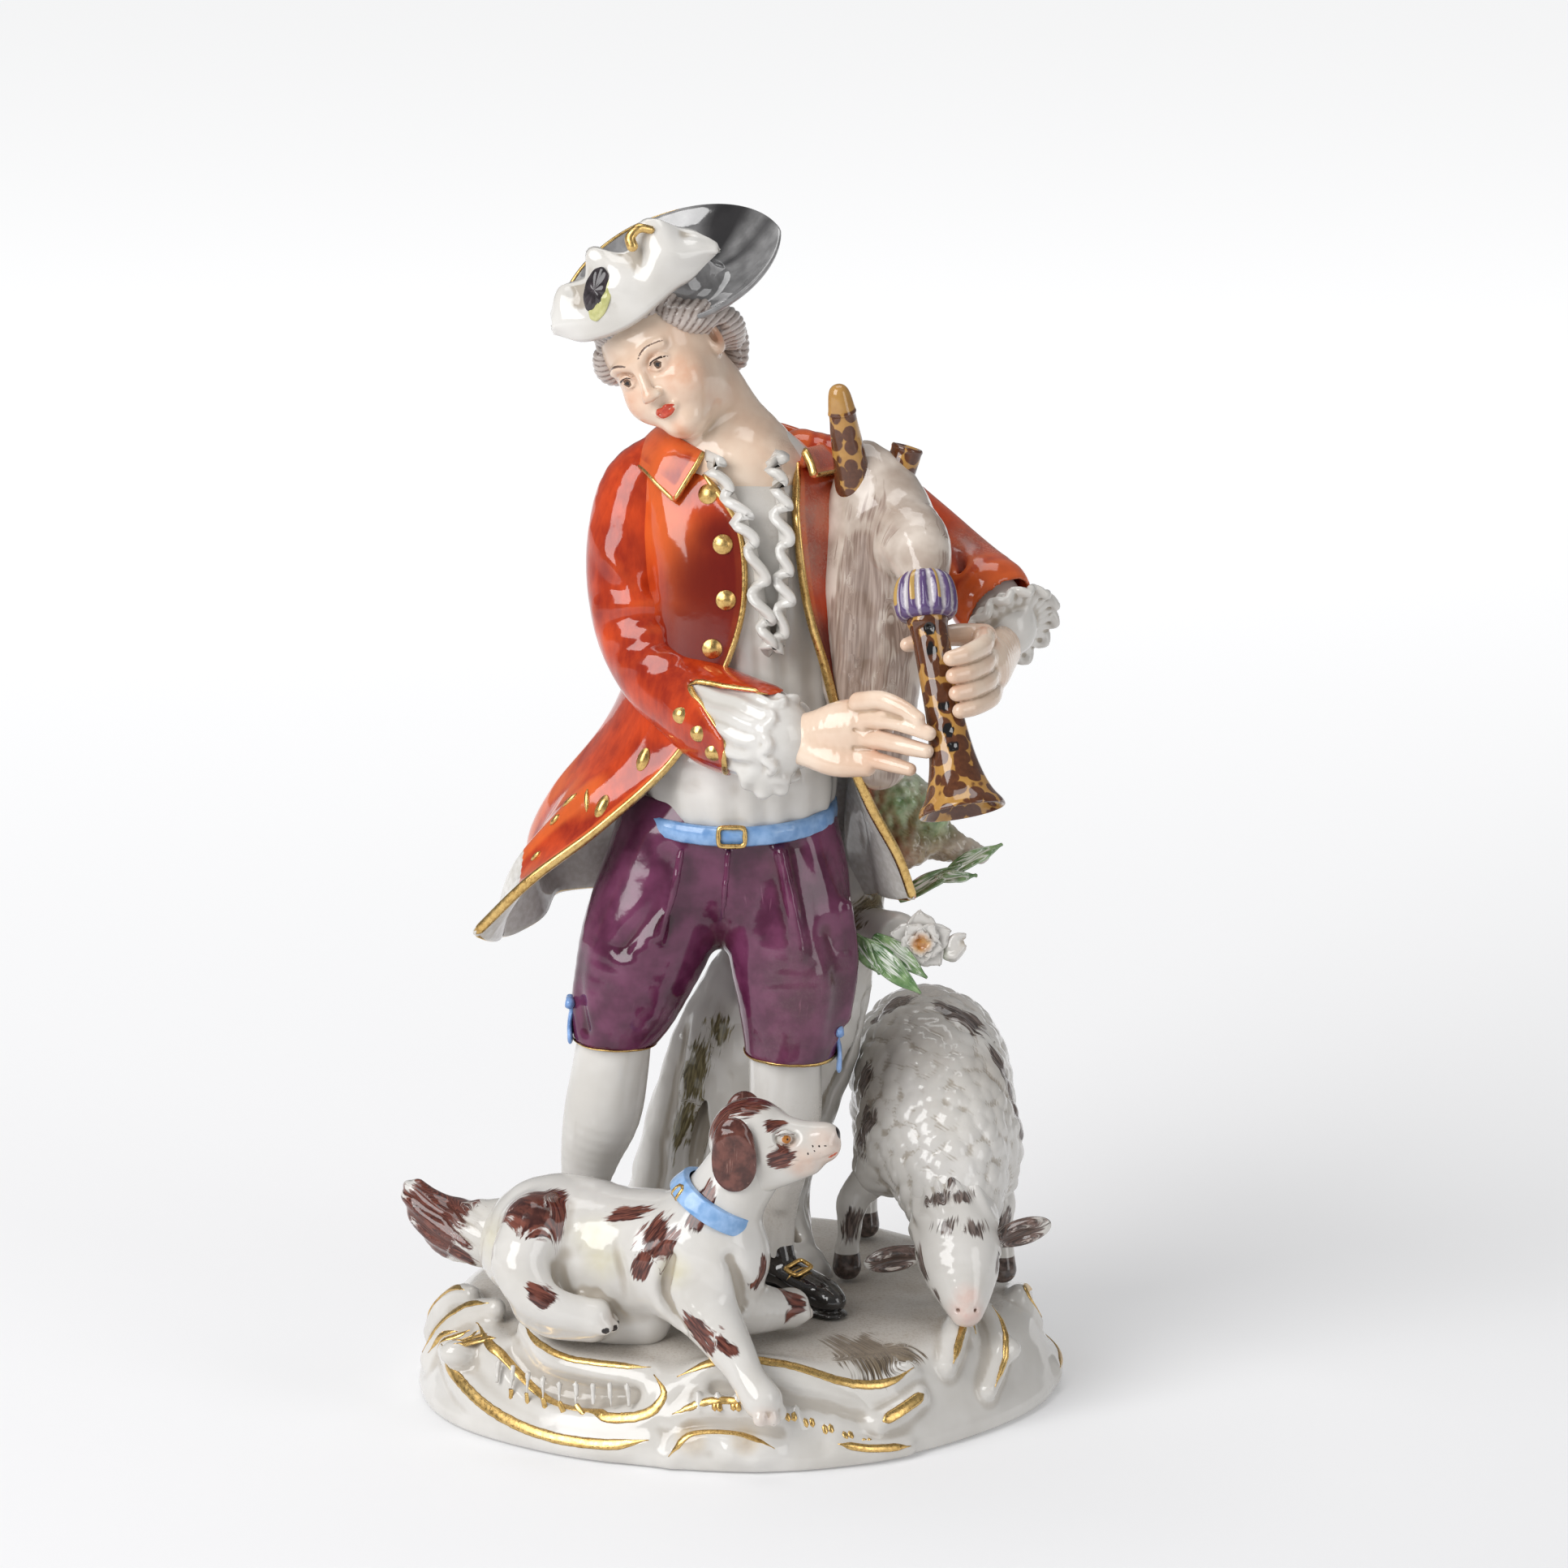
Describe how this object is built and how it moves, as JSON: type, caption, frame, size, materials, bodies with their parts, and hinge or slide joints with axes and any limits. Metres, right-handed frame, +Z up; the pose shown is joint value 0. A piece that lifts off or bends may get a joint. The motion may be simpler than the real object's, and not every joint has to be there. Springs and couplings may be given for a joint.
{
  "type": "porcelain figurine",
  "caption": "Glazed porcelain group of a standing bagpiper in an open coat and brimmed hat, with a resting dog, a grazing sheep and a tree stump on a scrolled oval base.",
  "frame": {"origin": "middle of the flat underside of the base", "axes": "+Z up, +X towards the piper's left hand (the viewer's right), +Y to the back, away from the viewer"},
  "size_m": [0.1282, 0.1205, 0.2342],
  "materials": {
    "white_glaze": "gloss",
    "red_enamel": "gloss",
    "purple_enamel": "gloss",
    "blue_enamel": "gloss",
    "flesh_enamel": "gloss",
    "hair_enamel": "gloss",
    "black_enamel": "gloss",
    "shell_enamel": "gloss",
    "leather_enamel": "gloss",
    "leaf_enamel": "gloss",
    "brown_enamel": "gloss",
    "gilding": "gloss"
  },
  "bodies": {
    "root": {"base": "white_glaze", "shirt": "white_glaze", "jabot": "white_glaze", "shirt_cuff_right": "white_glaze", "shirt_cuff_left": "white_glaze", "stocking_left": "white_glaze", "stocking_right": "white_glaze", "hat_plume": "white_glaze", "dog_body": "white_glaze", "dog_head": "white_glaze", "sheep_body": "white_glaze", "sheep_head": "white_glaze", "sheep_leg_front_right": "white_glaze", "sheep_leg_front_left": "white_glaze", "sheep_leg_back_right": "white_glaze", "sheep_leg_back_left": "white_glaze", "tree_trunk": "white_glaze", "blossom": "white_glaze", "coat": "red_enamel", "coat_collar": "red_enamel", "coat_sleeve_right": "red_enamel", "coat_sleeve_left": "red_enamel", "breeches": "purple_enamel", "chanter_stock": "purple_enamel", "belt": "blue_enamel", "knee_bow_left": "blue_enamel", "knee_bow_right": "blue_enamel", "dog_collar": "blue_enamel", "head": "flesh_enamel", "hand_right": "flesh_enamel", "hand_left": "flesh_enamel", "hair": "hair_enamel", "hat": "black_enamel", "shoe_left": "black_enamel", "shoe_right": "black_enamel", "chanter": "shell_enamel", "drone": "shell_enamel", "drone_stump": "shell_enamel", "bag": "leather_enamel", "upper_branch": "leaf_enamel", "bud": "leaf_enamel", "lower_leaves": "leaf_enamel", "upper_leaves": "leaf_enamel", "dog_ear_right": "brown_enamel", "dog_ear_left": "brown_enamel", "dog_tail": "brown_enamel", "sheep_ear_right": "brown_enamel", "sheep_ear_left": "brown_enamel", "belt_buckle": "gilding", "shoe_buckle": "gilding", "hat_loop": "gilding", "lapel_button_1": "gilding", "lapel_button_2": "gilding", "lapel_button_3": "gilding", "lapel_button_4": "gilding", "cuff_button_1": "gilding", "cuff_button_2": "gilding", "cuff_button_3": "gilding", "tail_button_1": "gilding", "tail_button_2": "gilding"}
  },
  "joints": []
}
